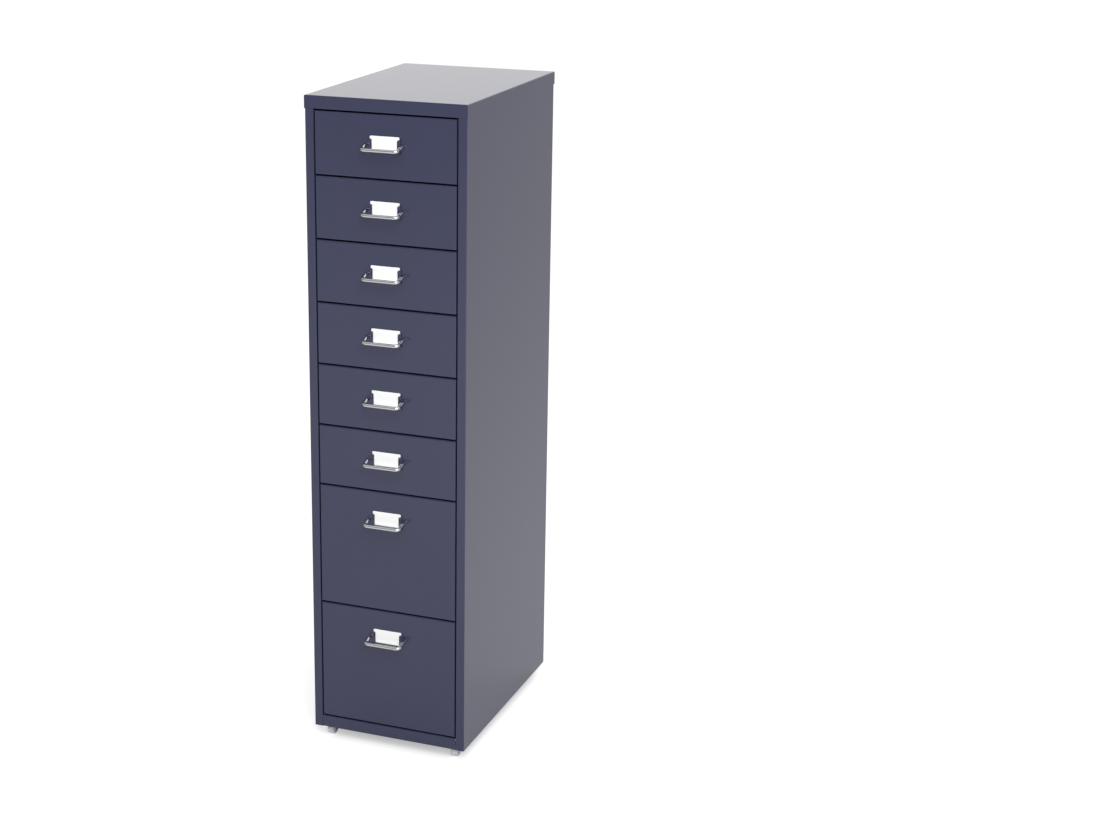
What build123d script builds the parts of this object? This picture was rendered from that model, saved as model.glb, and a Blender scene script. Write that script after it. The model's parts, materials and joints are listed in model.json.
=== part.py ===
from build123d import *
import math
import os

# Rolling drawer cabinet: a narrow painted steel cabinet on castors, shallow drawers over deep ones.
# Millimetres, +Z up, drawer fronts towards -Y, origin on the floor under the middle of the whole box.

# Body sheets
body_width = 280.0  # over the two side panels
body_depth = 409.0  # stile faces to the outer face of the back panel
floor_clearance = 22.0  # floor to the lower edge of the body
carcass_sheet = 0.8  # side panels, back panel, cap and base tray
bend_radius = 1.6  # outside of the carcass bends
panel_fit = 0.3  # seam between neighbouring sheets
stile_width = 15.0  # front face of a side panel
stile_return = 10.0  # stile folded back beside the drawers
rear_flange = 14.0  # side panel folded in behind the back panel
top_flange = 12.0  # side panel folded in under the cap
rail_height = 21.0  # lower edge of the body to the top of the base tray
rail_return = 5.0  # lower edge of the rail folded in
cap_flange = 21.5  # height of the cap's four sides
cap_return = 6.0  # lower edge of the cap's front folded in
cut_overrun = 5.0  # how far a cutting shape reaches past what it cuts

# Drawer layout, counted from the top
small_count = 6
large_count = 2
small_front = 103.0
large_front = 211.0
front_gap = 2.5  # between fronts, and from them to the cap and the rail
side_gap = 2.0  # front to stile

# Drawer fronts
front_sheet = 0.8
front_depth = 14.0  # folded edges of the front
front_radius = 1.8  # outside of the front's bends

# Drawer trays
tray_sheet = 0.6
rim_width = 10.5  # tray wall to the outer face of its hem
rim_hem = 5.0  # height of the turned-down hem
rim_clearance = 2.5  # hem to the stile's return
rim_drop = 14.0  # top edge of the front to the top of the rim
rear_clearance = 12.0  # tray to back panel
rear_hem = 8.0  # rear wall folded back at its top
tray_tab = 8.0  # wall folded out behind the front
tray_tab_inset = 8.0  # tab's ends from the floor and the rim

# Drawer runners
runner_sheet = 0.8
runner_lap = 8.0  # ledge under the rim
runner_rear_gap = 10.0  # runner to the rear flange
slide_fit = 0.3  # hem over ledge
guide_room = 5.0  # rim to the guide above it
drawer_travel = 290.0
stop_width = 6.0  # stop tab on the runner and ear on the rim
stop_fit = 0.6  # rim under the stop tab
stop_ear_height = 3.5
stop_gap = 0.3  # left between ear and tab at full travel

# Handles
handle_rod = 6.0  # diameter
handle_span = 64.0  # between the feet
handle_reach = 24.5  # drawer face to the middle of the bar
handle_dip = 4.5  # bar below the feet
handle_leg = 9.0  # straight stretch of a leg at its foot
handle_knee = 8.0  # bend radius where a leg dips
handle_corner = 7.0  # bend radius where a leg meets the bar
handle_drop = 49.0  # top edge of the front to the feet
rod_sides = 8  # flats round the rod
chord_angle = 30.0  # degrees that one straight stretch of a bend stands for

# Label holders and cards
holder_sheet = 0.6
holder_leg_gap = 1.0  # holder to the handle's legs
holder_drop = 37.0  # top edge of the front to the top of the lips
holder_height = 24.0
holder_depth = 2.4  # over plate and lips
holder_lip = 6.0  # width of the side lips
holder_toe = 3.0  # height of the turned-up toe
holder_ear = 12.0  # height of the ears under the handle's feet
ear_corner = 3.0  # cut off the ears' corners
lip_slant = 3.0  # cut off the lips' upper corners
card_sheet = 0.5
card_rise = 3.0  # card above the lips
card_side_fit = 1.8  # card to the holder's sides

# Castors
castor_inset_side = 23.5  # side panel to the kingpin
castor_inset_end = 32.0  # stile faces, or back panel, to the kingpin
castor_trail = 7.0  # kingpin to axle
plate_size = 36.0
plate_corner = 4.0
plate_sheet = 1.5
race_radius = 9.0
race_height = 1.6
swivel_gap = 0.3  # race to fork, and fork to kingpin head
kingpin_radius = 2.5
kingpin_head_radius = 4.5
kingpin_head_height = 1.5
fork_sheet = 1.5
fork_neck = 9.0  # half length of the fork's top, along the wheel
fork_neck_height = 5.0  # straight part of the fork's sides
fork_boss = 5.0  # axle to the leg's end
fork_slant = 4.0  # cut off the corners of the leg's end
axle_radius = 2.0
wheel_radius = 12.5
wheel_width = 12.0
wheel_side_gap = 0.3  # wheel to fork leg
running_fit = 0.06  # round a turning pin
screw_fit = 0.05  # round a screw

# Screws
carcass_screw_radius = 1.75
carcass_screw_length = 8.0
carcass_screw_rows = 4
carcass_screw_margin = 60.0  # outer rows to the back panel's ends
carcass_head_radius = 3.4  # over the corners of the hexagon
carcass_head_height = 1.9
screw_sides = 6

# Places that follow from the sizes
half_width = body_width / 2
opening_half = half_width - stile_width
handle_projection = handle_reach + handle_rod / 2
cap_overhang = panel_fit + carcass_sheet + carcass_head_height
front_y = (handle_projection - body_depth - cap_overhang) / 2
rear_y = front_y + body_depth - carcass_sheet
back_y = front_y + body_depth
cap_rear_y = back_y + panel_fit + carcass_sheet
deck_top = floor_clearance + rail_height
deck_under = deck_top - carcass_sheet
front_heights = [small_front] * small_count + [large_front] * large_count
front_bottoms = [
    deck_top + front_gap + sum(front_heights[place + 1 :]) + front_gap * len(front_heights[place + 1 :])
    for place in range(len(front_heights))
]
cap_bottom = front_bottoms[0] + front_heights[0] + front_gap
total_height = cap_bottom + cap_flange
web_top = total_height - carcass_sheet
rim_half = opening_half - rim_clearance
tray_half = rim_half - rim_width
ledge_x = rim_half - runner_lap
runner_front_y = front_y + front_depth + panel_fit
rear_screw_x = half_width - rear_flange / 2
holder_half = handle_span / 2 - handle_rod / 2 - holder_leg_gap
fork_half = wheel_width / 2 + wheel_side_gap + fork_sheet
fork_top = deck_under - plate_sheet - race_height - swivel_gap
castor_x = half_width - castor_inset_side
castor_places = {
    "front_left": (-castor_x, front_y + castor_inset_end, 0),
    "front_right": (castor_x, front_y + castor_inset_end, 0),
    "rear_left": (-castor_x, back_y - castor_inset_end, 180),
    "rear_right": (castor_x, back_y - castor_inset_end, 180),
}


def sheet_section(points, sheet, side, bend=None):
    """Cross-section of a sheet folded along a line of points, its thickness on one side of the line."""
    line = FilletPolyline(*points, radius=bend) if bend else Polyline(*points)
    return make_face(offset(line, amount=sheet, side=side, kind=Kind.INTERSECTION))


def along_x(profile, left, right):
    """A profile drawn in Y and Z, carried across the width."""
    return Pos(left, 0, 0) * extrude(Plane.YZ * profile, amount=right - left, dir=(1, 0, 0))


def along_y(profile, near, far):
    """A profile drawn in X and Z, carried from the front to the back."""
    return Pos(0, near, 0) * extrude(Plane.XZ * profile, amount=far - near, dir=(0, 1, 0))


def along_z(profile, low, high):
    """A profile drawn in X and Y, carried upwards."""
    return Pos(0, 0, low) * extrude(profile, amount=high - low)


def block(x_span, y_span, z_span):
    """A box between three pairs of limits."""
    lows, highs = zip(x_span, y_span, z_span)
    sizes = [high - low for low, high in zip(lows, highs)]
    return Pos(*lows) * Box(*sizes, align=(Align.MIN, Align.MIN, Align.MIN))


def prism_y(x, z, radius, sides, near, far):
    """A bar of regular section along Y between two limits."""
    return along_y(Pos(x, z) * RegularPolygon(radius, sides), near, far)


def rod_x(y, z, radius, left, right):
    """A round bar along X between two limits."""
    return along_x(Pos(y, z) * Circle(radius), left, right)


def both_sides(right_piece):
    """A piece of the right side together with its mirror image on the left."""
    return right_piece + mirror(right_piece, about=Plane.YZ)


def rear_screw_levels():
    """Heights of the back panel's screws, evenly spaced up the rear flanges."""
    low = floor_clearance + carcass_screw_margin
    high = cap_bottom - carcass_screw_margin
    step = (high - low) / (carcass_screw_rows - 1)
    return [low + step * row for row in range(carcass_screw_rows)]


def rear_holes(levels):
    """Clearance for screws through the sheets at the back, on both sides."""
    radius = carcass_screw_radius + screw_fit
    near, far = rear_y - carcass_sheet - cut_overrun, cap_rear_y + cut_overrun
    holes = [prism_y(rear_screw_x, level, radius, screw_sides, near, far) for level in levels]
    return both_sides(Part() + holes)


def cap_screw_level():
    """Height of the screws through the cap's rear flange."""
    return cap_bottom + cap_flange / 2


def side_panel():
    """Right side: stile and its return, web, rear flange and top flange, folded from one sheet."""
    plan = sheet_section(
        [
            (opening_half, front_y + stile_return),
            (opening_half, front_y),
            (half_width, front_y),
            (half_width, rear_y),
            (half_width - rear_flange, rear_y),
        ],
        carcass_sheet,
        Side.LEFT,
        bend_radius,
    )
    panel = along_z(plan, floor_clearance, web_top - bend_radius)
    flange = sheet_section(
        [(half_width, cap_bottom), (half_width, web_top), (half_width - top_flange, web_top)],
        carcass_sheet,
        Side.LEFT,
        bend_radius,
    )
    stile_back = front_y + stile_return
    panel += along_y(flange, stile_back, rear_y - bend_radius)
    inner = opening_half - cut_overrun
    relief = (cap_bottom - panel_fit, web_top + cut_overrun)
    panel -= block(
        (inner, half_width + cut_overrun),
        (front_y - cut_overrun, front_y + carcass_sheet + panel_fit),
        relief,
    )
    panel -= block((inner, half_width - carcass_sheet), (front_y - cut_overrun, stile_back), relief)
    return panel - rear_holes(rear_screw_levels() + [cap_screw_level()])


def back_panel():
    """Flat sheet over the rear flanges, its top edge under the cap."""
    half = half_width - panel_fit
    sheet = block((-half, half), (rear_y, back_y), (floor_clearance, web_top - panel_fit))
    return sheet - rear_holes(rear_screw_levels() + [cap_screw_level()])


def top_cap():
    """Lid with four sides, standing over the side and back panels and flush with the stiles in front."""
    half = half_width + panel_fit + carcass_sheet
    lid = block((-half, half), (front_y, cap_rear_y), (cap_bottom, total_height))
    lid = fillet(lid.edges().group_by(Axis.Z)[-1], bend_radius)
    lid = offset(lid, amount=-carcass_sheet, openings=lid.faces().sort_by(Axis.Z)[0])
    lip_half = opening_half - panel_fit
    lip_top = cap_bottom + cap_return
    lid -= block(
        (-lip_half, lip_half),
        (front_y - cut_overrun, front_y + carcass_sheet),
        (cap_bottom - cut_overrun, lip_top),
    )
    lip = sheet_section(
        [(front_y + cap_return, cap_bottom), (front_y, cap_bottom), (front_y, lip_top)],
        carcass_sheet,
        Side.RIGHT,
        bend_radius,
    )
    lid += along_x(lip, -lip_half, lip_half)
    return lid - rear_holes([cap_screw_level()])


def base_tray():
    """Floor sheet whose front edge is the bottom rail, with flanges down at the sides and the rear."""
    tray_back = rear_y - carcass_sheet
    rail_half = opening_half - panel_fit
    web_inside = half_width - carcass_sheet
    rail = sheet_section(
        [
            (front_y + rail_return, floor_clearance),
            (front_y, floor_clearance),
            (front_y, deck_top),
            (tray_back, deck_top),
            (tray_back, floor_clearance),
        ],
        carcass_sheet,
        Side.RIGHT,
        bend_radius,
    )
    wings = sheet_section(
        [
            (-web_inside, floor_clearance),
            (-web_inside, deck_top),
            (web_inside, deck_top),
            (web_inside, floor_clearance),
        ],
        carcass_sheet,
        Side.RIGHT,
        bend_radius,
    )
    tray = along_x(rail, -rail_half, rail_half)
    return tray + along_y(wings, front_y + stile_return + panel_fit, tray_back - bend_radius)


def rim_level(place):
    """Height of a drawer's rim, which its runners follow."""
    return front_bottoms[place] + front_heights[place] - rim_drop


def runner(place):
    """Right runner of one drawer: a channel on the side panel, with a stop tab hanging at its front."""
    rim = rim_level(place)
    wall = half_width - carcass_sheet
    under = rim - rim_hem - slide_fit - runner_sheet
    over = rim + guide_room + runner_sheet
    channel = sheet_section(
        [(ledge_x, under), (wall, under), (wall, over), (ledge_x, over)],
        runner_sheet,
        Side.LEFT,
    )
    rail = along_y(channel, runner_front_y, rear_y - carcass_sheet - runner_rear_gap)
    return rail + block(
        (ledge_x, ledge_x + stop_width),
        (runner_front_y, runner_front_y + runner_sheet),
        (rim + stop_fit, over - runner_sheet),
    )


def drawer_front(place):
    """Front of one drawer: a shallow pan folded back along its four edges, open behind."""
    half = opening_half - side_gap
    low, high = front_bottoms[place], front_bottoms[place] + front_heights[place]
    pan = block((-half, half), (front_y, front_y + front_depth), (low, high))
    pan = fillet(pan.edges().group_by(Axis.Y)[0], front_radius)
    return offset(pan, amount=-front_sheet, openings=pan.faces().sort_by(Axis.Y)[-1])


def drawer_tray(place):
    """Tray of one drawer: floor, sides and hemmed rims of one sheet, with a rear wall and stop ears."""
    rim = rim_level(place)
    floor = front_bottoms[place] + front_sheet + tray_sheet
    inside = tray_half - tray_sheet
    rear_inside = rear_y - rear_clearance - rear_hem
    rim_front = front_y + front_depth + panel_fit
    left_rim = [(-rim_half, rim - rim_hem), (-rim_half, rim), (-inside, rim)]
    right_rim = [(-x, z) for x, z in reversed(left_rim)]
    floor_line = [(-inside, floor), (inside, floor)]
    rimmed = sheet_section(left_rim + floor_line + right_rim, tray_sheet, Side.RIGHT)
    tray = along_y(rimmed, rim_front, rear_inside + tray_sheet)
    trough = sheet_section(left_rim[-1:] + floor_line + right_rim[:1], tray_sheet, Side.RIGHT)
    tray += along_y(trough, front_y + front_radius, rim_front)
    rear = sheet_section(
        [(rear_inside, floor), (rear_inside, rim), (rear_inside + rear_hem, rim)],
        tray_sheet,
        Side.RIGHT,
    )
    tray += along_x(rear, -tray_half, tray_half)
    return tray + both_sides(tray_front_tab(floor, rim) + stop_ear(rim))


def tray_front_tab(floor, rim):
    """Right wall's front edge, folded out flat against the back of the drawer front."""
    inside = tray_half - tray_sheet
    sheet_back = front_y + front_sheet
    plan = sheet_section(
        [(inside, sheet_back + tray_tab), (inside, sheet_back), (tray_half + tray_tab, sheet_back)],
        tray_sheet,
        Side.LEFT,
    )
    return along_z(plan, floor + tray_tab_inset, rim - tray_tab_inset)


def stop_ear(rim):
    """Ear raised from the right rim, which meets the runner's stop tab at full travel."""
    ear_y = runner_front_y + runner_sheet + drawer_travel + stop_gap
    return block(
        (ledge_x, ledge_x + stop_width),
        (ear_y, ear_y + tray_sheet),
        (rim - tray_sheet, rim + stop_ear_height),
    )


def foot_level(place):
    """Height of the handle's feet on one drawer."""
    return front_bottoms[place] + front_heights[place] - handle_drop


def handle(place):
    """Bail bent from round rod, its feet on the holder's ears; the rod follows its bends in chords."""
    level = foot_level(place)
    half = handle_span / 2
    foot_y = front_y - holder_sheet
    leg = [
        (half, foot_y, level),
        (half, foot_y - handle_leg, level),
        (half, front_y - handle_reach, level - handle_dip),
    ]
    bail = FilletPolyline(
        *leg,
        *[(-x, y, z) for x, y, z in reversed(leg)],
        radius=[handle_knee, handle_corner, handle_corner, handle_knee],
    )
    points = [bail @ 0]
    for edge in bail.edges().sort_by(bail):
        turn = math.degrees(edge.length / edge.radius) if edge.geom_type == GeomType.CIRCLE else 0
        chords = max(1, round(turn / chord_angle))
        points += [edge @ (step / chords) for step in range(1, chords + 1)]
    path = Polyline(*points)
    section = Plane(origin=path @ 0, z_dir=path % 0) * RegularPolygon(handle_rod / 2, rod_sides)
    return sweep(section, path=path, transition=Transition.RIGHT)


def label_holder(place):
    """Holder for a card: plate with turned side lips and toe, and ears under the handle's feet."""
    high = front_bottoms[place] + front_heights[place] - holder_drop
    low = high - holder_height
    face = front_y - holder_depth
    plan = sheet_section(
        [
            (holder_lip - holder_half, face),
            (-holder_half, face),
            (-holder_half, front_y),
            (holder_half, front_y),
            (holder_half, face),
            (holder_half - holder_lip, face),
        ],
        holder_sheet,
        Side.RIGHT,
    )
    holder = along_z(plan, low, high)
    slant = Polyline(
        (holder_half - holder_lip, high - lip_slant),
        (holder_half - holder_sheet, high),
        (holder_half - holder_lip, high),
        close=True,
    )
    holder -= both_sides(along_y(make_face(slant), face, front_y - holder_sheet))
    toe = sheet_section([(front_y, low), (face, low), (face, low + holder_toe)], holder_sheet, Side.RIGHT)
    holder += along_x(toe, -holder_half, holder_half)
    ears = Rectangle(handle_span + holder_ear, holder_ear)
    ears = Pos(0, foot_level(place)) * chamfer(ears.vertices(), ear_corner)
    return holder + along_y(ears, front_y - holder_sheet, front_y)


def label_card(place):
    """Blank card in the holder, standing on its toe against its plate."""
    high = front_bottoms[place] + front_heights[place] - holder_drop
    half = holder_half - holder_sheet - card_side_fit
    plate = front_y - holder_sheet
    return block(
        (-half, half),
        (plate - card_sheet, plate),
        (high - holder_height + holder_sheet, high + card_rise),
    )


def castor_plate():
    """Plate welded under the base tray, with the fork's race and the riveted kingpin that it turns on."""
    plate_low = deck_under - plate_sheet
    square = Rectangle(plate_size, plate_size)
    plate = along_z(chamfer(square.vertices(), plate_corner), plate_low, deck_under)
    plate += along_z(Circle(race_radius), plate_low - race_height, plate_low)
    head_top = fork_top - fork_sheet - swivel_gap
    plate += along_z(Circle(kingpin_radius), head_top, plate_low)
    return plate + along_z(Circle(kingpin_head_radius), head_top - kingpin_head_height, head_top)


def castor_fork():
    """Fork pressed from one strip, its legs tapering to the axle, which is riveted into them."""
    low = wheel_radius - fork_boss
    strip = sheet_section(
        [(-fork_half, low), (-fork_half, fork_top), (fork_half, fork_top), (fork_half, low)],
        fork_sheet,
        Side.RIGHT,
    )
    end = Pos(-castor_trail, wheel_radius) * Rectangle(2 * fork_boss, 2 * fork_boss)
    end = chamfer(end.vertices(), fork_slant)
    neck = Pos(0, fork_top - fork_neck_height / 2) * Rectangle(2 * fork_neck, fork_neck_height)
    outline = make_hull(end.edges() + neck.edges())
    reach = castor_trail + fork_boss
    fork = along_y(strip, -reach, reach) & along_x(outline, -fork_half, fork_half)
    fork -= along_z(Circle(kingpin_radius + running_fit), fork_top - fork_sheet, fork_top)
    return fork + rod_x(-castor_trail, wheel_radius, axle_radius, -fork_half, fork_half)


def castor_wheel():
    """Wheel of moulded plastic, bored for its axle."""
    bore = axle_radius + running_fit
    half = wheel_width / 2
    wheel = rod_x(-castor_trail, wheel_radius, wheel_radius, -half, half)
    return wheel - rod_x(-castor_trail, wheel_radius, bore, -half, half)


def at_castor(piece, place):
    """A castor piece at one of the four kingpins, turned so that its wheel stands outwards."""
    x, y, turn = castor_places[place]
    return Pos(x, y, 0) * Rot(0, 0, turn) * piece


def group(pieces):
    """Several separate solids as one shape."""
    return Compound([solid for piece in pieces for solid in piece.solids()])


def carcass_screws():
    """Hexagon-headed screws that hold the back panel and the cap to the rear flanges."""
    seats = [(level, back_y) for level in rear_screw_levels()] + [(cap_screw_level(), cap_rear_y)]
    screws = []
    for level, seat in seats:
        tip = seat - carcass_screw_length
        screw = prism_y(rear_screw_x, level, carcass_screw_radius, screw_sides, tip, seat)
        screw += prism_y(rear_screw_x, level, carcass_head_radius, screw_sides, seat, seat + carcass_head_height)
        screws.append(both_sides(screw))
    return group(screws)


def all_pieces():
    """Every piece of the cabinet by name."""
    right_panel = side_panel()
    runners = [runner(place) for place in range(len(front_heights))]
    pieces = {
        "right_side_panel": right_panel,
        "left_side_panel": mirror(right_panel, about=Plane.YZ),
        "back_panel": back_panel(),
        "top_cap": top_cap(),
        "base_tray": base_tray(),
        "right_runners": group(runners),
        "left_runners": group([mirror(piece, about=Plane.YZ) for piece in runners]),
        "carcass_screws": carcass_screws(),
        "castor_plates": group([at_castor(castor_plate(), place) for place in castor_places]),
    }
    for place in range(len(front_heights)):
        number = place + 1
        pieces[f"drawer_front_{number}"] = drawer_front(place)
        pieces[f"drawer_tray_{number}"] = drawer_tray(place)
        pieces[f"handle_{number}"] = handle(place)
        pieces[f"label_holder_{number}"] = label_holder(place)
        pieces[f"label_card_{number}"] = label_card(place)
    for place in castor_places:
        pieces[f"castor_fork_{place}"] = at_castor(castor_fork(), place)
        pieces[f"castor_wheel_{place}"] = at_castor(castor_wheel(), place)
    return pieces


os.makedirs("parts", exist_ok=True)
for name, piece in all_pieces().items():
    export_step(piece, f"parts/{name}.step")
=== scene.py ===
"""Looks of the rolling drawer cabinet: powder-coated sheet steel, chromed bails, card holders and castors.

Everything is in metres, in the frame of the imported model: +Z up, drawer fronts towards -Y, and the origin on
the floor.
"""

import json
import logging
import math
from dataclasses import dataclass
from enum import Enum
from typing import Any, Sequence

import bpy
import numpy as np
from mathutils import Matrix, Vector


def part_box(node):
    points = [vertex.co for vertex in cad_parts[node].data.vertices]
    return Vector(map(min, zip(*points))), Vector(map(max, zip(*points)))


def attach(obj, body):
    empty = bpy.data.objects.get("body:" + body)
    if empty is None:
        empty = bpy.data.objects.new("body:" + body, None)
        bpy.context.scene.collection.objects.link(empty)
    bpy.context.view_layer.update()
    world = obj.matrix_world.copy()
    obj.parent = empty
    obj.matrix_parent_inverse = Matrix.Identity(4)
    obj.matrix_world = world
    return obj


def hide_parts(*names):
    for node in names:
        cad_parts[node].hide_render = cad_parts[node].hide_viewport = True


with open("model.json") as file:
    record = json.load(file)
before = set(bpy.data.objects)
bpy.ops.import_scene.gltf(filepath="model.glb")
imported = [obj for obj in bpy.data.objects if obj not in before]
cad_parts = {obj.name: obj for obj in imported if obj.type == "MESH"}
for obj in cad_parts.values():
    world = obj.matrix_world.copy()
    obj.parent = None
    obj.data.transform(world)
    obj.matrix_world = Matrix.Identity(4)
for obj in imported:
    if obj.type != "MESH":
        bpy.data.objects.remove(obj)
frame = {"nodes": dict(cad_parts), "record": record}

LOG = logging.getLogger("drawer_cabinet")
DRAWERS = range(1, 9)
CASTORS = ("front_left", "front_right", "rear_left", "rear_right")
QUARTER_TURN = math.pi / 2

Triple = tuple[float, float, float]


class Slot(Enum):
    """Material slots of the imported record."""

    PAINT = "painted_steel"
    CHROME = "chrome"
    CARD = "card"
    ZINC = "zinc_plate"
    WHEEL = "wheel_plastic"


class Value:
    """A number in a node tree; arithmetic on it adds Math nodes."""

    def __init__(self, sheet: "NodeSheet", socket: bpy.types.NodeSocket) -> None:
        """Wrap one output socket of a sheet's tree.

        Args:
            sheet: The node sheet that the socket belongs to.
            socket: The output socket.
        """
        self.sheet = sheet
        self.socket = socket

    def math(self, operation: str, *terms: Any) -> "Value":
        """Apply one Math operation.

        Args:
            operation: Blender's name of the operation.
            *terms: Numbers or values, in the node's order.

        Returns:
            The node's result.
        """
        node = self.sheet.node("ShaderNodeMath", {"operation": operation}, dict(enumerate(terms)))
        return Value(self.sheet, node.outputs[0])

    def __add__(self, other: Any) -> "Value":
        """Sum."""
        return self.math("ADD", self, other)

    def __radd__(self, other: Any) -> "Value":
        """Sum with the number first."""
        return self.math("ADD", other, self)

    def __sub__(self, other: Any) -> "Value":
        """Difference."""
        return self.math("SUBTRACT", self, other)

    def __rsub__(self, other: Any) -> "Value":
        """Difference with the number first."""
        return self.math("SUBTRACT", other, self)

    def __mul__(self, other: Any) -> "Value":
        """Product."""
        return self.math("MULTIPLY", self, other)

    def __rmul__(self, other: Any) -> "Value":
        """Product with the number first."""
        return self.math("MULTIPLY", other, self)

    def clamped(self) -> "Value":
        """The value held between 0 and 1."""
        return self.math("MINIMUM", self.math("MAXIMUM", self, 0.0), 1.0)

    def centred(self) -> "Value":
        """The value less one half, so that noise swings about zero."""
        return self - 0.5


class NodeSheet:
    """Node tree of a material or of the world."""

    def __init__(self, tree: bpy.types.NodeTree) -> None:
        """Empty a tree and write on it.

        Args:
            tree: The node tree.
        """
        self.tree = tree
        self.tree.nodes.clear()

    def node(self, kind: str, settings: dict[str, Any], inputs: dict[Any, Any]) -> bpy.types.Node:
        """Add a node.

        Args:
            kind: Blender's type of the node.
            settings: Properties, set first.
            inputs: Socket name or number to a constant, a value or an output socket.

        Returns:
            The node.
        """
        node = self.tree.nodes.new(kind)
        for name, setting in settings.items():
            setattr(node, name, setting)
        for key, given in inputs.items():
            source = given.socket if isinstance(given, Value) else given
            if isinstance(source, bpy.types.NodeSocket):
                self.tree.links.new(source, node.inputs[key])
            else:
                node.inputs[key].default_value = source
        return node

    def value(self, kind: str, settings: dict[str, Any], inputs: dict[Any, Any], output: Any = 0) -> Value:
        """Add a node and take one of its outputs as a number.

        Args:
            kind: Blender's type of the node.
            settings: Properties, set first.
            inputs: Socket name or number to its constant or link.
            output: Name or number of the output.

        Returns:
            The output as a value.
        """
        return Value(self, self.node(kind, settings, inputs).outputs[output])

    def place(self) -> bpy.types.NodeSocket:
        """Object coordinates, in metres."""
        return self.node("ShaderNodeTexCoord", {}, {}).outputs["Object"]

    def noise(self, grains: float, detail: float = 2.0, stretch: Triple = (1.0, 1.0, 1.0)) -> Value:
        """Noise over the piece.

        Args:
            grains: Grains in a metre.
            detail: Octaves of finer grain.
            stretch: Scale along each axis.

        Returns:
            A value about one half.
        """
        mapped = self.node("ShaderNodeMapping", {}, {"Vector": self.place(), "Scale": stretch})
        inputs = {"Vector": mapped.outputs[0], "Scale": grains, "Detail": detail}
        return self.value("ShaderNodeTexNoise", {}, inputs)

    def blend(self, factor: Value, first: Triple, second: Triple) -> bpy.types.NodeSocket:
        """Mix two colours.

        Args:
            factor: Share of the second colour.
            first: Colour at 0.
            second: Colour at 1.

        Returns:
            The mixed colour.
        """
        inputs = {0: factor, 6: (*first, 1.0), 7: (*second, 1.0)}
        return self.node("ShaderNodeMix", {"data_type": "RGBA"}, inputs).outputs[2]

    def tones(self, factor: Value, colour: Triple, spread: tuple[float, float]) -> bpy.types.NodeSocket:
        """Vary a colour from a darker to a lighter tone.

        Args:
            factor: 0 for the darker tone, 1 for the lighter one.
            colour: The colour between them.
            spread: What the colour is multiplied by for each tone.

        Returns:
            The varied colour.
        """
        darker, lighter = (tuple(channel * share for channel in colour) for share in spread)
        return self.blend(factor, darker, lighter)

    def bump(self, height: Value, strength: float, distance: float) -> bpy.types.NodeSocket:
        """Surface relief.

        Args:
            height: Height over the surface, 0 to 1.
            strength: Share of the relief that shows.
            distance: Metres from lowest to highest.

        Returns:
            The normal.
        """
        inputs = {"Height": height, "Strength": strength, "Distance": distance}
        return self.node("ShaderNodeBump", {}, inputs).outputs[0]


def new_material(name: str) -> tuple[bpy.types.Material, NodeSheet]:
    """Make an empty node material.

    Args:
        name: The material's name.

    Returns:
        The material and its node sheet.
    """
    material = bpy.data.materials.new(name)
    material.use_nodes = True
    return material, NodeSheet(material.node_tree)


def finish_material(sheet: NodeSheet, inputs: dict[str, Any]) -> None:
    """End a material in one Principled surface.

    Args:
        sheet: The material's node sheet.
        inputs: The shader's sockets and what feeds them.
    """
    shader = sheet.node("ShaderNodeBsdfPrincipled", {}, inputs)
    sheet.node("ShaderNodeOutputMaterial", {}, {"Surface": shader.outputs[0]})


@dataclass(frozen=True)
class PowderCoat:
    """Satin powder coat with a fine orange peel."""

    colour: Triple = (0.028, 0.031, 0.076)
    tones: tuple[float, float] = (0.9, 1.1)
    roughness: float = 0.14
    coat: float = 0.22
    coat_roughness: float = 0.08
    cloud_grains: float = 7.0
    cloud_detail: float = 3.0
    cloud_share: float = 0.7
    cloud_gloss: float = 0.05
    speck_grains: float = 2480.0
    speck_detail: float = 1.0
    peel_grains: float = 620.0
    peel_gloss: float = 0.08
    peel_depth: float = 0.00003
    peel_strength: float = 0.35

    def material(self) -> bpy.types.Material:
        """Build the paint: slow clouds of tone, fine peel in the relief and the gloss.

        Returns:
            The material.
        """
        material, sheet = new_material("slate_powder_coat")
        clouds = sheet.noise(self.cloud_grains, self.cloud_detail)
        peel = sheet.noise(self.peel_grains)
        speck = sheet.noise(self.speck_grains, self.speck_detail)
        tone = (clouds * self.cloud_share + speck * (1.0 - self.cloud_share)).clamped()
        gloss = self.roughness + peel.centred() * self.peel_gloss + clouds.centred() * self.cloud_gloss
        inputs = {
            "Base Color": sheet.tones(tone, self.colour, self.tones),
            "Roughness": gloss,
            "Coat Weight": self.coat,
            "Coat Roughness": self.coat_roughness,
            "Normal": sheet.bump(peel, self.peel_strength, self.peel_depth),
        }
        finish_material(sheet, inputs)
        return material


@dataclass(frozen=True)
class ChromePlate:
    """Bright chrome plate with faint drawing lines along the rod."""

    colour: Triple = (0.66, 0.665, 0.67)
    tones: tuple[float, float] = (0.96, 1.04)
    roughness: float = 0.05
    line_grains: float = 900.0
    line_stretch: Triple = (0.06, 1.0, 1.0)
    line_gloss: float = 0.05
    line_depth: float = 0.00002
    line_strength: float = 0.05
    mark_grains: float = 90.0
    mark_detail: float = 3.0
    mark_edge: float = 0.45
    mark_gloss: float = 0.12

    def material(self) -> bpy.types.Material:
        """Build the plate: mirror metal, its gloss broken by fine lines and handling marks.

        Returns:
            The material.
        """
        material, sheet = new_material("bright_chrome")
        lines = sheet.noise(self.line_grains, stretch=self.line_stretch)
        marks = sheet.noise(self.mark_grains, self.mark_detail)
        touched = (marks - self.mark_edge).clamped()
        inputs = {
            "Base Color": sheet.tones(marks, self.colour, self.tones),
            "Metallic": 1.0,
            "Roughness": self.roughness + lines * self.line_gloss + touched * self.mark_gloss,
            "Normal": sheet.bump(lines, self.line_strength, self.line_depth),
        }
        finish_material(sheet, inputs)
        return material


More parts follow.
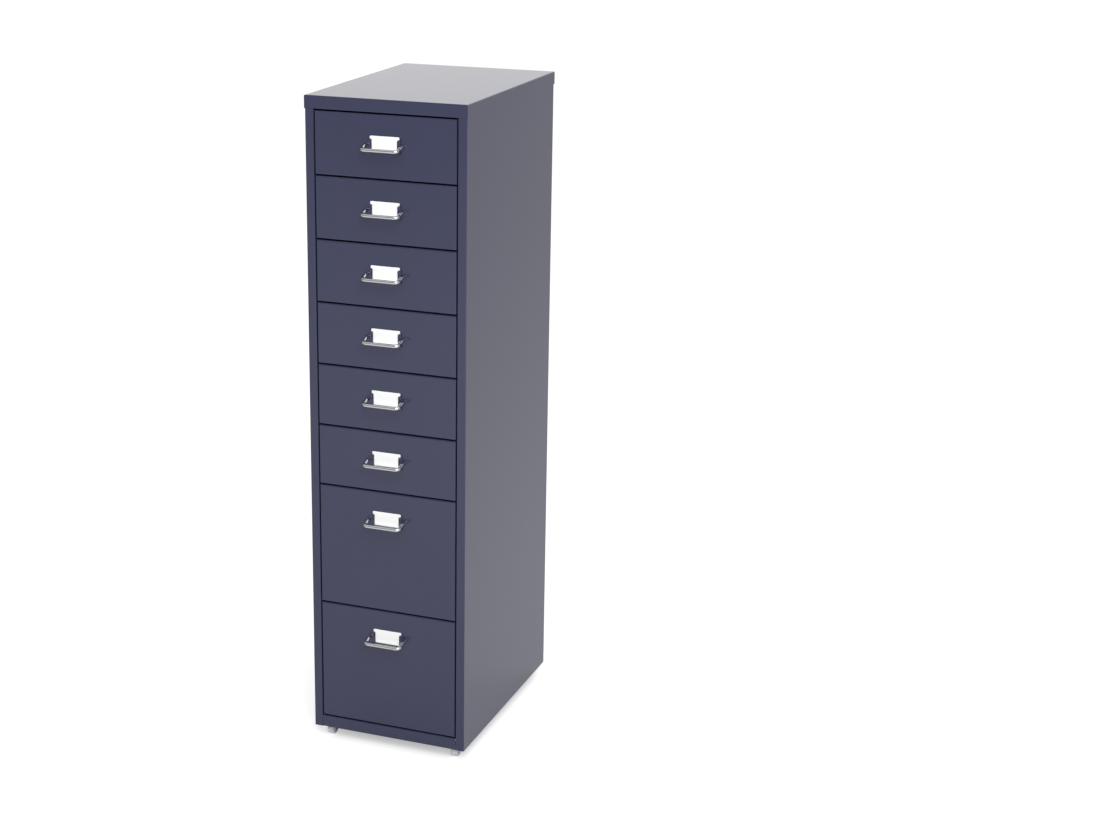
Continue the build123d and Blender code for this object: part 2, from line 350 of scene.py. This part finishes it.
@dataclass(frozen=True)
class ZincPlate:
    """Dull zinc plate with a soft crystal pattern."""

    colour: Triple = (0.55, 0.56, 0.59)
    tones: tuple[float, float] = (0.86, 1.1)
    roughness: float = 0.36
    crystal_grains: float = 260.0
    crystal_gloss: float = 0.14
    pore_grains: float = 1500.0
    pore_gloss: float = 0.1
    pore_depth: float = 0.00002
    pore_strength: float = 0.2

    def material(self) -> bpy.types.Material:
        """Build the plate: crystals of slightly different tone and gloss, with fine pores in the relief.

        Returns:
            The material.
        """
        material, sheet = new_material("dull_zinc")
        cell_inputs = {"Vector": sheet.place(), "Scale": self.crystal_grains}
        cells = sheet.node("ShaderNodeTexVoronoi", {}, cell_inputs).outputs["Color"]
        crystal = sheet.value("ShaderNodeSeparateColor", {}, {0: cells}, "Red")
        pores = sheet.noise(self.pore_grains)
        gloss = self.roughness + crystal.centred() * self.crystal_gloss + pores.centred() * self.pore_gloss
        inputs = {
            "Base Color": sheet.tones(crystal, self.colour, self.tones),
            "Metallic": 1.0,
            "Roughness": gloss,
            "Normal": sheet.bump(pores, self.pore_strength, self.pore_depth),
        }
        finish_material(sheet, inputs)
        return material


@dataclass(frozen=True)
class CardStock:
    """Blank white card with a fine fibre."""

    colour: Triple = (0.965, 0.97, 0.97)
    tones: tuple[float, float] = (0.985, 1.015)
    roughness: float = 0.72
    mottle_grains: float = 160.0
    fibre_grains: float = 2600.0
    fibre_detail: float = 3.0
    fibre_stretch: Triple = (0.35, 1.0, 1.0)
    fibre_gloss: float = 0.15
    fibre_depth: float = 0.00003
    fibre_strength: float = 0.25

    def material(self) -> bpy.types.Material:
        """Build the card: mottled white, fibres in its relief.

        Returns:
            The material.
        """
        material, sheet = new_material("white_card")
        fibre = sheet.noise(self.fibre_grains, self.fibre_detail, self.fibre_stretch)
        mottle = sheet.noise(self.mottle_grains)
        inputs = {
            "Base Color": sheet.tones(mottle, self.colour, self.tones),
            "Roughness": self.roughness + fibre.centred() * self.fibre_gloss,
            "Normal": sheet.bump(fibre, self.fibre_strength, self.fibre_depth),
        }
        finish_material(sheet, inputs)
        return material


@dataclass(frozen=True)
class WheelPlastic:
    """Pale grey moulded plastic, a little dusty."""

    colour: Triple = (0.80, 0.79, 0.86)
    dust: Triple = (0.42, 0.41, 0.41)
    roughness: float = 0.44
    dust_grains: float = 140.0
    dust_detail: float = 4.0
    dust_edge: float = 0.52
    dust_slope: float = 5.0
    dust_share: float = 0.55
    dust_gloss: float = 0.25
    mould_grains: float = 1800.0
    mould_gloss: float = 0.1
    mould_depth: float = 0.00003
    mould_strength: float = 0.2

    def material(self) -> bpy.types.Material:
        """Build the plastic: dust in patches, a fine moulded grain.

        Returns:
            The material.
        """
        material, sheet = new_material("pale_wheel_plastic")
        grain = sheet.noise(self.mould_grains)
        patches = sheet.noise(self.dust_grains, self.dust_detail)
        dirt = ((patches - self.dust_edge) * self.dust_slope).clamped() * self.dust_share
        inputs = {
            "Base Color": sheet.blend(dirt, self.colour, self.dust),
            "Roughness": self.roughness + dirt * self.dust_gloss + grain.centred() * self.mould_gloss,
            "Normal": sheet.bump(grain, self.mould_strength, self.mould_depth),
        }
        finish_material(sheet, inputs)
        return material


class Ends(Enum):
    """How a stack of rings is closed at its two ends."""

    FLAT = "flat"
    JOINED = "joined"


@dataclass
class Skin:
    """Points of surfaces, and their faces in groups of equal corner count."""

    points: np.ndarray
    groups: list[np.ndarray]

    @classmethod
    def over(cls, rings: np.ndarray, ends: Ends = Ends.FLAT) -> "Skin":
        """Skin a stack of rings and turn its faces outwards.

        Point j of ring i is joined with point j + 1, and both with the same points of ring i + 1. The points
        wrap round, and so do the rings where the ends are joined.

        Args:
            rings: Rings by points by 3.
            ends: Flat faces on the end rings, or the last ring joined to the first.

        Returns:
            The closed skin.
        """
        index = np.arange(rings.shape[0] * rings.shape[1]).reshape(rings.shape[:2])
        stack = np.vstack([index, index[:1]]) if ends is Ends.JOINED else index
        beside = np.roll(stack, -1, axis=1)
        quads = np.stack([stack[:-1], beside[:-1], beside[1:], stack[1:]], axis=-1).reshape(-1, 4)
        caps = [] if ends is Ends.JOINED else [np.stack([index[0, ::-1], index[-1]])]
        skin = cls(rings.reshape(-1, 3), [quads, *caps])
        return skin if skin.volume() > 0.0 else cls(skin.points, [faces[:, ::-1] for faces in skin.groups])

    @classmethod
    def joined(cls, skins: Sequence["Skin"]) -> "Skin":
        """Put several skins into one, with each one's corner numbers moved on past those before it.

        Args:
            skins: The skins.

        Returns:
            One skin of them all.
        """
        starts = np.cumsum([0] + [len(skin.points) for skin in skins])
        groups = [faces + start for skin, start in zip(skins, starts) for faces in skin.groups]
        return cls(np.vstack([skin.points for skin in skins]), groups)

    def volume(self) -> float:
        """Sum a sixth of the triple product of every triangle, which is positive where faces look outwards.

        Returns:
            The enclosed volume.
        """
        near = self.points - self.points.mean(axis=0)
        total = 0.0
        for faces in self.groups:
            spread = np.cross(near[faces[:, :1]], near[faces[:, 1:-1]]) * near[faces[:, 2:]]
            total += float(spread.sum()) / 6.0
        return total

    def piece(self, name: str, sharp_deg: float = 35.0) -> bpy.types.Object:
        """Make a smooth mesh object at the origin.

        Args:
            name: The piece's name.
            sharp_deg: Edges that turn by more than this stay sharp.

        Returns:
            The new object, linked to the scene.
        """
        mesh = bpy.data.meshes.new(name)
        faces = [face for group in self.groups for face in group.tolist()]
        mesh.from_pydata(self.points.tolist(), [], faces)
        mesh.polygons.foreach_set("use_smooth", np.ones(len(mesh.polygons), bool))
        mesh.update()
        mesh.set_sharp_from_angle(angle=math.radians(sharp_deg))
        piece = bpy.data.objects.new(name, mesh)
        bpy.context.scene.collection.objects.link(piece)
        return piece


def unit(vectors: np.ndarray) -> np.ndarray:
    """Vectors of length one in the same directions."""
    return vectors / np.linalg.norm(vectors, axis=-1, keepdims=True)


def round_angles(sides: int) -> np.ndarray:
    """Equal steps once round a circle."""
    return np.linspace(0.0, 2.0 * math.pi, sides, endpoint=False)


def corners_of(node: str) -> tuple[np.ndarray, np.ndarray]:
    """Lowest and highest corner of a solid's box."""
    low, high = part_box(node)
    return np.array(low), np.array(high)


def rounded_path(corners: np.ndarray, radii: Sequence[float], steps: int) -> np.ndarray:
    """Follow a line of corners with each inner corner rounded to an arc.

    Where the line turns by an angle t, the arc of radius r starts r tan(t / 2) before the corner. At angle a
    along it the point is start + r sin(a) times the direction of arrival + r (1 - cos(a)) times the direction
    from there to the arc's centre.

    Args:
        corners: Corner points by 3.
        radii: Arc radius at each inner corner.
        steps: Points along each arc.

    Returns:
        The path's points by 3.
    """
    stretches = [corners[:1]]
    for before, corner, after, radius in zip(corners, corners[1:], corners[2:], radii):
        arrival, leaving = unit(corner - before), unit(after - corner)
        turn = math.acos(float(np.clip(arrival @ leaving, -1.0, 1.0)))
        start = corner - arrival * radius * math.tan(turn / 2)
        inward = unit(leaving - arrival * (leaving @ arrival))
        angle = np.linspace(0.0, turn, steps)[:, None]
        arc = start + radius * (np.sin(angle) * arrival + (1.0 - np.cos(angle)) * inward)
        stretches.append(arc)
    stretches.append(corners[-1:])
    return np.vstack(stretches)


def rod_rings(path: np.ndarray, radius: float, sides: int) -> np.ndarray:
    """Carry a circle along a path that never runs straight up.

    Ring i is path_i + r (cos a side_i + sin a up_i), with side_i level and square to the path, and up_i
    square to both.

    Args:
        path: Centreline points by 3.
        radius: Radius of the rod.
        sides: Points round the circle.

    Returns:
        Rings by points by 3.
    """
    travel = unit(np.gradient(path, axis=0))
    side = unit(np.cross(travel, (0.0, 0.0, 1.0)))
    up = np.cross(side, travel)
    angle = round_angles(sides)[None, :, None]
    return path[:, None, :] + radius * (np.cos(angle) * side[:, None] + np.sin(angle) * up[:, None])


def turned_rings(profile: np.ndarray, centre: np.ndarray, sides: int) -> np.ndarray:
    """Turn a profile about a line along X: ring i is centre + (x_i, r_i cos a, r_i sin a).

    Args:
        profile: Places along X and radii, by 2.
        centre: A point on the line.
        sides: Points round the circle.

    Returns:
        Rings by points by 3.
    """
    angle = round_angles(sides)
    along = np.repeat(profile[:, :1], sides, axis=1)
    radius = profile[:, 1:]
    return centre + np.stack([along, radius * np.cos(angle), radius * np.sin(angle)], axis=-1)


def sheet_rings(path: np.ndarray, across: Sequence[float], sheet: float, low: Any, high: Any) -> np.ndarray:
    """Carry the cross-section of a sheet along the line of its folds.

    At each point of the path the section is a thin oblong: half the sheet to both sides of the path, and from
    low to high across it. A quarter of the sheet is taken off each of its four edges.

    Args:
        path: Middle of the sheet, points by 3.
        across: Direction across the strip.
        sheet: Thickness.
        low: Lower end of the section, one number or one for each point.
        high: Upper end of the section, likewise.

    Returns:
        Rings of eight points by 3.
    """
    across = np.asarray(across, float)
    facing = unit(np.cross(unit(np.gradient(path, axis=0)), across))
    quarter = sheet / 4
    sideways = np.array([-2, -2, -1, 1, 2, 2, 1, -1]) * quarter
    at_top = np.array([0, 1, 1, 1, 1, 0, 0, 0])
    inset = np.array([1, -1, 0, 0, -1, 1, 0, 0]) * quarter
    ends = np.stack(np.broadcast_arrays(low, high, path[:, 0])[:2], axis=1)
    lengthwise = ends[:, at_top] + inset
    return path[:, None] + sideways[:, None] * facing[:, None] + lengthwise[..., None] * across


@dataclass
class Finishes:
    """The cabinet's materials by slot."""

    by_slot: dict[Slot, bpy.types.Material]

    @classmethod
    def made(cls) -> "Finishes":
        """Build every finish.

        Returns:
            The finishes.
        """
        makers = {
            Slot.PAINT: PowderCoat(),
            Slot.CHROME: ChromePlate(),
            Slot.CARD: CardStock(),
            Slot.ZINC: ZincPlate(),
            Slot.WHEEL: WheelPlastic(),
        }
        return cls({slot: maker.material() for slot, maker in makers.items()})

    def put_on(self, piece: bpy.types.Object, body: str, slot: Slot) -> None:
        """Give a new piece the finish of a slot and the body that it moves with.

        Args:
            piece: The piece.
            body: Name of the body that carries it.
            slot: Material slot of the record that its finish stands for.
        """
        piece.data.materials.append(self.by_slot[slot])
        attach(piece, body)
        LOG.info("%s rides on %s with %d faces", piece.name, body, len(piece.data.polygons))

    def put_on_solids(self) -> None:
        """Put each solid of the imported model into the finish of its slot."""
        for row in frame["record"]["subparts"]:
            mesh = frame["nodes"][row["node"]].data
            mesh.materials.clear()
            mesh.materials.append(self.by_slot[Slot(row["material_slot"])])
            LOG.info("%s is %s", row["node"], mesh.materials[0].name)


@dataclass
class Bail:
    """Handle of one drawer: a round chromed rod bent to a bail, its feet on the holder's ears."""

    number: int
    rod_radius: float = 0.003
    span: float = 0.064
    reach: float = 0.0245
    dip: float = 0.0045
    leg: float = 0.009
    knee: float = 0.008
    corner: float = 0.007
    drop: float = 0.049
    ear_sheet: float = 0.0006
    sides: int = 28
    arc_steps: int = 14

    def foot(self) -> np.ndarray:
        """Middle between the two feet, on the face of the holder's ears."""
        low, high = corners_of(f"drawer_front_{self.number}")
        return np.array([0.0, low[1] - self.ear_sheet, high[2] - self.drop])

    def path(self) -> np.ndarray:
        """Centreline from the right foot round to the left one.

        Returns:
            Points by 3.
        """
        half, out = self.span / 2, self.reach - self.ear_sheet
        right = np.array([[half, 0.0, 0.0], [half, -self.leg, 0.0], [half, -out, -self.dip]])
        corners = np.vstack([right, right[::-1] * (-1.0, 1.0, 1.0)]) + self.foot()
        return rounded_path(corners, [self.knee, self.corner, self.corner, self.knee], self.arc_steps)

    def build(self, finishes: Finishes) -> None:
        """Skin the rod in place of the solid bail.

        Args:
            finishes: The cabinet's materials.
        """
        rod = Skin.over(rod_rings(self.path(), self.rod_radius, self.sides))
        piece = rod.piece(f"bail_{self.number}")
        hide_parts(f"handle_{self.number}")
        finishes.put_on(piece, f"drawer_{self.number}", Slot.CHROME)


@dataclass
class CardHolder:
    """Card holder of one drawer: plate with rolled side lips, turned-up toe, and ears for the bail's feet."""

    number: int
    half: float = 0.028
    lip: float = 0.006
    toe: float = 0.003
    slant: float = 0.003
    sheet: float = 0.0006
    bend: float = 0.0008
    ear: float = 0.012
    ear_inset_shares: Triple = (0.25, 0.0, 0.0)
    ear_depth_shares: Triple = (0.95, 0.7, 0.0)
    ear_steps: int = 25
    arc_steps: int = 7

    def box(self) -> tuple[np.ndarray, np.ndarray]:
        """Box of the solid holder, ears and all."""
        return corners_of(f"label_holder_{self.number}")

    def plate(self) -> Skin:
        """Plate and lips of one strip; the lips' tops fall by the slant from the fold to their free edge.

        Returns:
            The folded plate.
        """
        low, high = self.box()
        face, back = low[1] + self.sheet / 2, high[1] - self.sheet / 2
        side, free = self.half - self.sheet / 2, self.half - self.lip
        right = np.array([[side, back, 0.0], [side, face, 0.0], [free, face, 0.0]])
        corners = np.vstack([right[::-1] * (-1.0, 1.0, 1.0), right])
        path = rounded_path(corners, [self.bend] * 4, self.arc_steps)
        on_lip = path[:, 1] < face + self.sheet / 2
        inwards = np.clip((self.half - self.sheet - np.abs(path[:, 0])) / (self.lip - self.sheet), 0.0, 1.0)
        top = high[2] - self.slant * inwards * on_lip
        return Skin.over(sheet_rings(path, (0, 0, 1), self.sheet, low[2], top))

    def toe_fold(self) -> Skin:
        """Foot of the plate, turned out and up.

        Returns:
            The fold.
        """
        low, high = self.box()
        face, floor = low[1] + self.sheet / 2, low[2] + self.sheet / 2
        corners = np.array([[0.0, high[1], floor], [0.0, face, floor], [0.0, face, low[2] + self.toe]])
        path = rounded_path(corners, [self.bend], self.arc_steps)
        return Skin.over(sheet_rings(path, (1, 0, 0), self.sheet, -self.half, self.half))

    def ears(self) -> Skin:
        """Round-ended strip under the bail's feet.

        Its outline at angle a is the end circle r (cos a, sin a), moved out to the foot on its own side.
        Three such outlines, the first one drawn in, give the strip its broken edge, its side and its back.

        Returns:
            The strip.
        """
        bail = Bail(self.number)
        centre, back = bail.foot(), self.box()[1][1]
        angle = np.linspace(-QUARTER_TURN, QUARTER_TURN, self.ear_steps)
        radius = self.ear / 2 - self.sheet * np.array(self.ear_inset_shares)[:, None]
        right = np.stack([bail.span / 2 + radius * np.cos(angle), radius * np.sin(angle)], axis=-1)
        outline = np.concatenate([right, -right], axis=1)
        depth = back - self.sheet * np.array(self.ear_depth_shares)
        levels = np.repeat(depth[:, None], outline.shape[1], axis=1)
        return Skin.over(np.stack([outline[..., 0], levels, outline[..., 1] + centre[2]], axis=-1))

    def build(self, finishes: Finishes) -> None:
        """Fold the holder in place of the solid one.

        Args:
            finishes: The cabinet's materials.
        """
        skin = Skin.joined([self.plate(), self.toe_fold(), self.ears()])
        piece = skin.piece(f"card_holder_{self.number}")
        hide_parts(f"label_holder_{self.number}")
        finishes.put_on(piece, f"drawer_{self.number}", Slot.PAINT)


@dataclass
class Card:
    """Blank card of one drawer, bowed a little between the lips, its upper corners rounded."""

    number: int
    sheet: float = 0.0005
    bow: float = 0.0003
    corner: float = 0.002
    stations: int = 61

    def build(self, finishes: Finishes) -> None:
        """Bow the card in place of the solid one.

        At x from the middle it stands out by bow (1 - (x / half)^2). Within a corner radius of its sides the
        top falls along a circle.

        Args:
            finishes: The cabinet's materials.
        """
        low, high = corners_of(f"label_card_{self.number}")
        half = high[0]
        x = half * np.sin(np.linspace(-QUARTER_TURN, QUARTER_TURN, self.stations))
        y = high[1] - self.sheet / 2 - self.bow * (1.0 - (x / half) ** 2)
        into = np.clip((np.abs(x) - half + self.corner) / self.corner, 0.0, 1.0)
        fall = self.corner * (1.0 - np.sqrt(1.0 - into**2))
        path = np.stack([x, y, np.zeros_like(x)], axis=1)
        skin = Skin.over(sheet_rings(path, (0, 0, 1), self.sheet, low[2], high[2] - fall))
        piece = skin.piece(f"card_{self.number}")
        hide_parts(f"label_card_{self.number}")
        finishes.put_on(piece, f"drawer_{self.number}", Slot.CARD)


@dataclass
class HandleScrews:
    """The two pan-headed screws that hold one bail, seen inside its drawer."""

    number: int
    head_radius: float = 0.0038
    head_height: float = 0.0022
    recess_radius: float = 0.0022
    recess_half: float = 0.0005
    recess_depth: float = 0.0012
    front_sheet: float = 0.0008
    tip_share: float = 0.02
    rings: int = 22
    sides: int = 64

    def head(self, centre: np.ndarray) -> Skin:
        """One head, as a height over a disc.

        At a share s of the radius the height is h (1 - s^4), less the recess where a cross of two bars is
        cut.

        Args:
            centre: Middle of the head's seat.

        Returns:
            The head.
        """
        share = np.linspace(1.0, self.tip_share, self.rings)[:, None]
        angle = round_angles(self.sides)
        x, z = self.head_radius * share * np.cos(angle), self.head_radius * share * np.sin(angle)
        bars = np.minimum(np.abs(x), np.abs(z)) < self.recess_half
        cut = bars & (np.hypot(x, z) < self.recess_radius)
        height = self.head_height * (1.0 - share**4) - self.recess_depth * cut
        return Skin.over(centre + np.stack([x, height, z], axis=-1))

    def build(self, finishes: Finishes) -> None:
        """Seat both heads on the back of the drawer front.

        Args:
            finishes: The cabinet's materials.
        """
        bail = Bail(self.number)
        seat = bail.foot() + (0.0, bail.ear_sheet + self.front_sheet, 0.0)
        heads = [self.head(seat + (side * bail.span / 2, 0.0, 0.0)) for side in (-1.0, 1.0)]
        piece = Skin.joined(heads).piece(f"handle_screws_{self.number}")
        finishes.put_on(piece, f"drawer_{self.number}", Slot.ZINC)


@dataclass
class CastorWheel:
    """Moulded wheel of one castor: rounded tread, dished sides and a raised hub."""

    place: str
    tread_round: float = 0.0022
    dish_depth: float = 0.0014
    rim_wall: float = 0.0030
    hub_radius: float = 0.0046
    bore_radius: float = 0.00206
    round_steps: int = 8
    sides: int = 72

    def profile(self, half: float, radius: float) -> np.ndarray:
        """Outline round one cut of the wheel.

        Its shoulder at angle a lies t (1 - cos a, 1 - sin a) inside the wheel's corner, with t the tread's
        rounding.

        Args:
            half: Half of the wheel's width.
            radius: Tread radius.

        Returns:
            Places along the axle and radii, by 2.
        """
        angle = np.linspace(0.0, QUARTER_TURN, self.round_steps)
        inside = 1.0 - np.stack([np.cos(angle), np.sin(angle)], axis=1)
        shoulder = [half, radius] - self.tread_round * inside
        floor, slope = half - self.dish_depth, self.dish_depth / 2
        side = [
            [half, self.bore_radius],
            [half, self.hub_radius],
            [floor, self.hub_radius + slope],
            [floor, radius - self.rim_wall - slope],
            [half, radius - self.rim_wall],
        ]
        right = np.vstack([side, shoulder])
        return np.vstack([right, right[::-1] * (-1.0, 1.0)])

    def build(self, finishes: Finishes) -> None:
        """Turn the wheel in place of the solid one.

        Args:
            finishes: The cabinet's materials.
        """
        low, high = corners_of(f"castor_wheel_{self.place}")
        size = high - low
        rings = turned_rings(self.profile(size[0] / 2, size[2] / 2), (low + high) / 2, self.sides)
        piece = Skin.over(rings, Ends.JOINED).piece(f"wheel_{self.place}")
        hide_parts(f"castor_wheel_{self.place}")
        finishes.put_on(piece, f"castor_roller_{self.place}", Slot.WHEEL)


@dataclass
class CastorFork:
    """Fork of one castor: a bent strip whose legs taper to round ends, with the riveted ends of the axle."""

    place: str
    sheet: float = 0.0015
    bend: float = 0.0018
    trail: float = 0.007
    neck: float = 0.009
    neck_height: float = 0.005
    boss: float = 0.005
    foot_lift: float = 0.00003
    tip_half: float = 0.0001
    rivet_radius: float = 0.0032
    rivet_height: float = 0.0012
    rivet_share: float = 0.97
    rivet_rings: int = 9
    sides: int = 36
    leg_steps: int = 40
    bend_steps: int = 9

    def box(self) -> tuple[np.ndarray, np.ndarray]:
        """Box of the solid fork."""
        return corners_of(f"castor_fork_{self.place}")

    def axle(self) -> np.ndarray:
        """Middle of the wheel, on its axle."""
        return sum(corners_of(f"castor_wheel_{self.place}")) / 2

    def path(self) -> np.ndarray:
        """Middle of the strip under the kingpin: one leg, the arch and the other leg.

        The legs' points lie closer together towards the feet: at step share s they are sin(s pi / 2) of the
        way down.

        Returns:
            Points by 3.
        """
        low, high = self.box()
        side, top = (high[0] - low[0] - self.sheet) / 2, high[2] - self.sheet / 2
        shoulder, foot = top - 2 * self.bend, low[2] + self.foot_lift
        fall = np.sin(np.linspace(0.0, QUARTER_TURN, self.leg_steps))[:, None]
        leg = np.array([side, 0.0, shoulder]) + fall * np.array([0.0, 0.0, foot - shoulder])
        right = np.array([[side, 0.0, top], [side, 0.0, shoulder]])
        corners = np.vstack([right[::-1] * (-1.0, 1.0, 1.0), right])
        arch = rounded_path(corners, [self.bend] * 2, self.bend_steps)
        return np.vstack([leg[::-1] * (-1.0, 1.0, 1.0), arch[1:-1], leg])

    def strip(self) -> Skin:
        """The strip, from one leg's end over the top to the other's.

        Down to the neck's foot it keeps the neck's width. From there to the axle its two edges run straight
        to the boss, and below the axle at depth d it is 2 sqrt(b^2 - d^2) wide.

        Returns:
            The fork's strip.
        """
        path, axle = self.path(), self.axle()
        level, neck_foot = path[:, 2], self.box()[1][2] - self.neck_height
        outward = -1.0 if axle[1] < 0.0 else 1.0
        share = np.clip((neck_foot - level) / (neck_foot - axle[2]), 0.0, 1.0)
        taper = self.neck + share * (self.boss - self.neck)
        below = np.clip(axle[2] - level, 0.0, self.boss)
        round_end = np.sqrt(np.maximum(self.boss**2 - below**2, self.tip_half**2))
        half = np.where(below > 0.0, round_end, taper)
        middle = share * outward * self.trail
        placed = path + (axle[0], axle[1] - outward * self.trail, 0.0)
        return Skin.over(sheet_rings(placed, (0, 1, 0), self.sheet, middle - half, middle + half))

    def rivet(self, outward: float) -> Skin:
        """One end of the axle, as a low dome: at angle a it stands out by h sin(a), with radius r cos(a).

        Args:
            outward: Side of the fork, -1 or 1.

        Returns:
            The dome.
        """
        low, high = self.box()
        angle = np.linspace(0.0, self.rivet_share, self.rivet_rings) * QUARTER_TURN
        along = outward * ((high[0] - low[0]) / 2 - self.sheet / 4 + self.rivet_height * np.sin(angle))
        profile = np.stack([along, self.rivet_radius * np.cos(angle)], axis=1)
        return Skin.over(turned_rings(profile, self.axle(), self.sides))

    def build(self, finishes: Finishes) -> None:
        """Bend the fork in place of the solid one and rivet its axle.

        Args:
            finishes: The cabinet's materials.
        """
        skin = Skin.joined([self.strip(), self.rivet(-1.0), self.rivet(1.0)])
        piece = skin.piece(f"fork_{self.place}")
        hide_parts(f"castor_fork_{self.place}")
        finishes.put_on(piece, f"castor_swivel_{self.place}", Slot.ZINC)


@dataclass
class Studio:
    """Pale floor, soft light and the camera of the photograph."""

    floor_half: float = 30.0
    floor_tone: float = 0.8
    floor_lift: float = 0.45
    ambient: float = 1.04
    room_edge: float = 0.8
    room_slope: float = 1.6
    room_fade: float = 0.85
    room_dark: float = 0.97
    key_power: float = 150.0
    key_size: float = 2.4
    key_place: Triple = (1.8, -3.45, 3.4)
    key_aim: Triple = (0.0, 0.0, 0.6)
    camera_place: Triple = (1.325, -3.2138, 1.625)
    camera_reach: float = 200.0
    heading_deg: float = 22.515
    tilt_deg: float = 17.07
    focal_px: float = 2093.0
    centre_px: float = 427.0
    image_width_px: float = 1100.0
    sensor_mm: float = 36.0

    @staticmethod
    def seen(sheet: NodeSheet) -> Value:
        """One for rays from the camera and through glass, and zero for all others.

        Args:
            sheet: The node sheet that asks.

        Returns:
            The value.
        """
        path = sheet.node("ShaderNodeLightPath", {}, {})
        camera, clear = (Value(sheet, path.outputs[ray]) for ray in ("Is Camera Ray", "Is Transmission Ray"))
        return (camera + clear).clamped()

    def build_world(self) -> None:
        """White behind the cabinet and overhead, falling off to a dim room on the other sides."""
        world = bpy.data.worlds.new("white_room")
        world.use_nodes = True
        sheet = NodeSheet(world.node_tree)
        direction = sheet.node("ShaderNodeTexCoord", {}, {}).outputs["Generated"]
        axes = sheet.node("ShaderNodeSeparateXYZ", {}, {0: direction})
        back, up = Value(sheet, axes.outputs["Y"]), Value(sheet, axes.outputs["Z"])
        behind = ((self.room_edge - back) * self.room_slope).clamped()
        low = (1.0 - up * self.room_fade).clamped()
        light = self.ambient * (1.0 - self.room_dark * behind * low)
        seen = self.seen(sheet)
        strength = light * (1.0 - seen) + seen
        inputs = {"Color": (1.0, 1.0, 1.0, 1.0), "Strength": strength}
        background = sheet.node("ShaderNodeBackground", {}, inputs)
        sheet.node("ShaderNodeOutputWorld", {}, {"Surface": background.outputs[0]})
        bpy.context.scene.world = world

    def build_floor(self) -> None:
        """Lay a pale floor that keeps the cabinet's shadow."""
        half = self.floor_half
        corners = np.array([[-half, -half, 0.0], [half, -half, 0.0], [half, half, 0.0], [-half, half, 0.0]])
        floor = Skin(corners, [np.array([[0, 1, 2, 3]])]).piece("floor")
        material, sheet = new_material("pale_floor")
        tone = (self.floor_tone,) * 3
        paint = sheet.node("ShaderNodeBsdfDiffuse", {}, {"Color": (*tone, 1.0)})
        lift = self.floor_lift * self.seen(sheet)
        glow = sheet.node("ShaderNodeEmission", {}, {"Strength": lift})
        both = sheet.node("ShaderNodeAddShader", {}, {0: paint.outputs[0], 1: glow.outputs[0]})
        sheet.node("ShaderNodeOutputMaterial", {}, {"Surface": both.outputs[0]})
        floor.data.materials.append(material)

    def build_key(self) -> None:
        """Hang one large soft lamp at the upper right in front."""
        lamp = bpy.data.lights.new("soft_key", "AREA")
        lamp.shape = "SQUARE"
        lamp.size = self.key_size
        lamp.energy = self.key_power
        key = bpy.data.objects.new("soft_key", lamp)
        bpy.context.scene.collection.objects.link(key)
        key.location = self.key_place
        aim = np.array(self.key_aim) - np.array(self.key_place)
        level = math.hypot(aim[0], aim[1])
        key.rotation_euler = (math.atan2(level, -aim[2]), 0.0, math.atan2(-aim[0], aim[1]))

    def build_camera(self) -> None:
        """Stand the camera where the photograph was taken, framed with the cabinet left of the middle."""
        lens = bpy.data.cameras.new("photo_camera")
        lens.sensor_width = self.sensor_mm
        lens.lens = self.focal_px / self.image_width_px * self.sensor_mm
        lens.shift_x = 0.5 - self.centre_px / self.image_width_px
        lens.clip_end = self.camera_reach
        camera = bpy.data.objects.new("photo_camera", lens)
        bpy.context.scene.collection.objects.link(camera)
        camera.location = self.camera_place
        upright = QUARTER_TURN - math.radians(self.tilt_deg)
        camera.rotation_euler = (upright, 0.0, math.radians(self.heading_deg))
        bpy.context.scene.camera = camera

    def build(self) -> None:
        """Set up the world, the floor, the lamp and the camera."""
        bpy.context.scene.view_settings.view_transform = "Standard"
        self.build_world()
        self.build_floor()
        self.build_key()
        self.build_camera()


def main() -> None:
    """Build the cabinet's looks in order."""
    logging.basicConfig(level=logging.INFO)
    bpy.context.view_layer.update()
    finishes = Finishes.made()
    finishes.put_on_solids()
    for number in DRAWERS:
        for kind in (Bail, CardHolder, Card, HandleScrews):
            kind(number).build(finishes)
    for place in CASTORS:
        for kind in (CastorWheel, CastorFork):
            kind(place).build(finishes)
    Studio().build()


if __name__ == "__main__":
    main()
